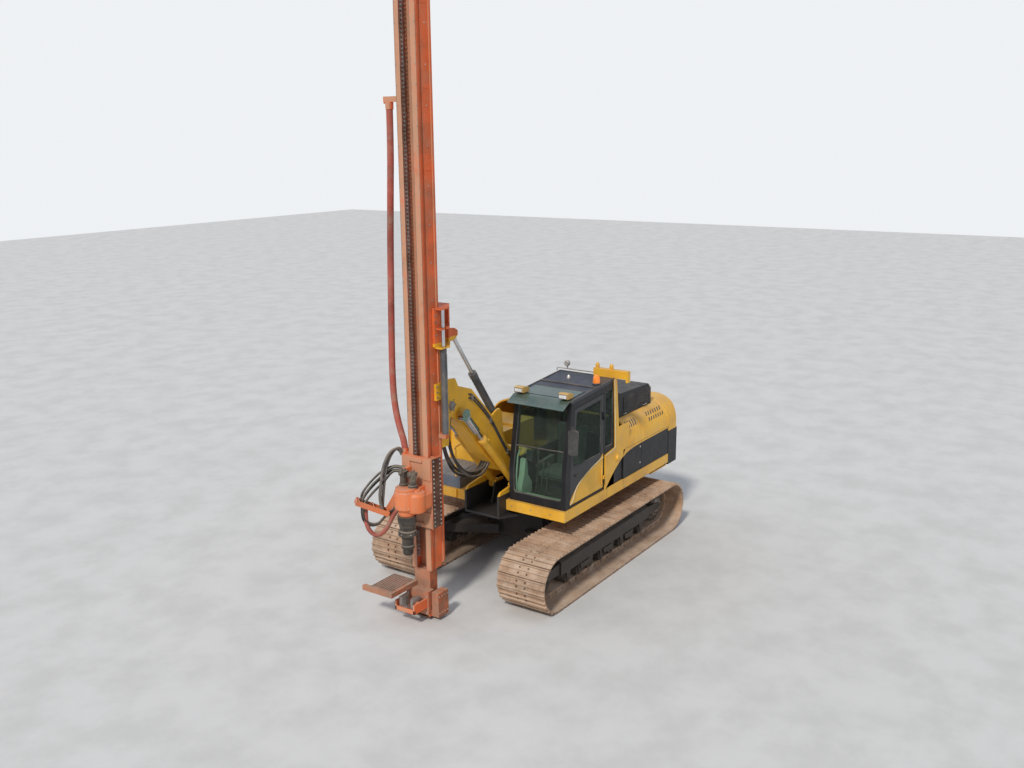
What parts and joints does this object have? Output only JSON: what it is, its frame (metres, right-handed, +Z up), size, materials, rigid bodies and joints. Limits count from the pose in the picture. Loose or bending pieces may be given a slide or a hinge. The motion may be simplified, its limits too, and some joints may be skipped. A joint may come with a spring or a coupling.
{
  "type": "excavator-mounted drilling rig",
  "caption": "Crawler excavator carrier with cab, boom and tilt cylinder holding an upright drilling mast with feed chain, sliding drill head and hose hanger.",
  "frame": {"origin": "on the ground under the tracks, midway between the tail and the hose guide at the nose, on the machine centre line", "axes": "+X forward from tail to mast, +Y to the cab side, +Z up along the mast"},
  "size_m": [6.3498, 3.18, 11.5],
  "materials": {
    "yellow_paint": "semi-gloss machine enamel, dusty",
    "orange_paint": "faded enamel, rust brown where worn",
    "black_paint": "satin black",
    "roof_paint": "satin dark blue-black",
    "grey_paint": "satin dark grey",
    "track_steel": "rusty steel under pale dust",
    "dark_steel": "greasy dark steel",
    "bright_rod": "polished",
    "worn_steel": "bare worn steel",
    "seat_cloth": "woven, dark"
  },
  "bodies": {
    "undercarriage": {"car_body": "black_paint", "slew_ring": "dark_steel", "track_frame_left": "black_paint", "track_frame_right": "black_paint", "track_left": "track_steel", "track_right": "track_steel", "idlers": "dark_steel", "sprockets": "dark_steel", "rollers": "dark_steel"},
    "house": {"upper_frame": "yellow_paint", "deck": "yellow_paint", "counterweight": "yellow_paint", "engine_shroud": "yellow_paint", "engine": "dark_steel", "side_body": "yellow_paint", "tanks": "yellow_paint", "tool_box": "yellow_paint", "cab": "black_paint", "cab_roof": "roof_paint", "seat": "seat_cloth"},
    "boom": {"boom": "yellow_paint"},
    "lift_barrels": {"lift_barrels": "yellow_paint"},
    "lift_rods": {"lift_rods": "bright_rod"},
    "carrier": {"mast_carrier": "orange_paint", "slide_rods": "bright_rod"},
    "tilt_barrel": {"tilt_barrel": "grey_paint"},
    "tilt_rod": {"tilt_rod": "bright_rod"},
    "mast": {"mast": "orange_paint", "feed_chain": "worn_steel", "mast_crown": "orange_paint", "mast_foot": "orange_paint", "hose_hanger": "orange_paint", "slide_barrels": "grey_paint"},
    "head": {"head_carriage": "orange_paint", "rotary_drive": "orange_paint"},
    "spindle": {"spindle": "worn_steel"},
    "cab_door": {"cab_door": "black_paint"},
    "door_left_front": {"service_door_left_front": "black_paint"},
    "door_left_rear": {"service_door_left_rear": "black_paint"},
    "door_right": {"service_door_right": "black_paint"},
    "engine_lid": {"engine_lid": "black_paint"}
  },
  "joints": [
    {"name": "slew", "type": "hinge", "parent": "undercarriage", "child": "house", "pos_m": [-0.425, 0, 1.015], "axis": [0, 0, 1], "continuous": true},
    {"name": "boom_lift", "type": "hinge", "parent": "house", "child": "boom", "pos_m": [0.125, 0, 1.75], "axis": [0, -1, 0], "range_deg": [-8, 35]},
    {"name": "lift_barrel_pivot", "type": "hinge", "parent": "house", "child": "lift_barrels", "pos_m": [0.435, 0, 1.345], "axis": [0, -1, 0], "range_deg": [-7.45, 31.93]},
    {"name": "lift_rod_slide", "type": "slide", "parent": "lift_barrels", "child": "lift_rods", "axis": [0.6677, 0, 0.7444], "range_m": [-0.0671, 0.2867]},
    {"name": "mast_tilt", "type": "hinge", "parent": "boom", "child": "carrier", "pos_m": [1.955, 0, 2.975], "axis": [0, 1, 0], "range_deg": [-30, 8]},
    {"name": "tilt_barrel_pivot", "type": "hinge", "parent": "boom", "child": "tilt_barrel", "pos_m": [0.745, 0, 2.58], "axis": [0, 1, 0], "range_deg": [-11.17, 3.13]},
    {"name": "tilt_rod_slide", "type": "slide", "parent": "tilt_barrel", "child": "tilt_rod", "axis": [0.5818, 0, 0.8133], "range_m": [-0.4343, 0.1173]},
    {"name": "mast_slide", "type": "slide", "parent": "carrier", "child": "mast", "axis": [0, 0, -1], "range_m": [-0.45, 0.45]},
    {"name": "head_feed", "type": "slide", "parent": "mast", "child": "head", "axis": [0, 0, 1], "range_m": [-0.3, 8.6]},
    {"name": "spindle_turn", "type": "hinge", "parent": "head", "child": "spindle", "pos_m": [2.795, 0, 1.3], "axis": [0, 0, 1], "continuous": true},
    {"name": "cab_door_swing", "type": "hinge", "parent": "house", "child": "cab_door", "pos_m": [-0.269, 1.345, 2.1], "axis": [0, 0, -1], "range_deg": [-160, 0]},
    {"name": "door_left_front_swing", "type": "hinge", "parent": "house", "child": "door_left_front", "pos_m": [-0.907, 1.338, 1.54], "axis": [0, 0, -1], "range_deg": [0, 110]},
    {"name": "door_left_rear_swing", "type": "hinge", "parent": "house", "child": "door_left_rear", "pos_m": [-1.522, 1.338, 1.54], "axis": [0, 0, -1], "range_deg": [0, 110]},
    {"name": "door_right_swing", "type": "hinge", "parent": "house", "child": "door_right", "pos_m": [-1.522, -1.338, 1.54], "axis": [0, 0, 1], "range_deg": [0, 110]},
    {"name": "engine_lid_lift", "type": "hinge", "parent": "house", "child": "engine_lid", "pos_m": [-2.295, 0, 2.264], "axis": [0, -1, 0], "range_deg": [0, 75]}
  ],
  "couplings": [
    {"joint": "lift_barrel_pivot", "follows": "boom_lift", "ratio": 0.9065},
    {"joint": "lift_rod_slide", "follows": "boom_lift", "m_per_rad": 0.466},
    {"joint": "tilt_barrel_pivot", "follows": "mast_tilt", "ratio": 0.3657},
    {"joint": "tilt_rod_slide", "follows": "mast_tilt", "m_per_rad": 0.8257}
  ]
}
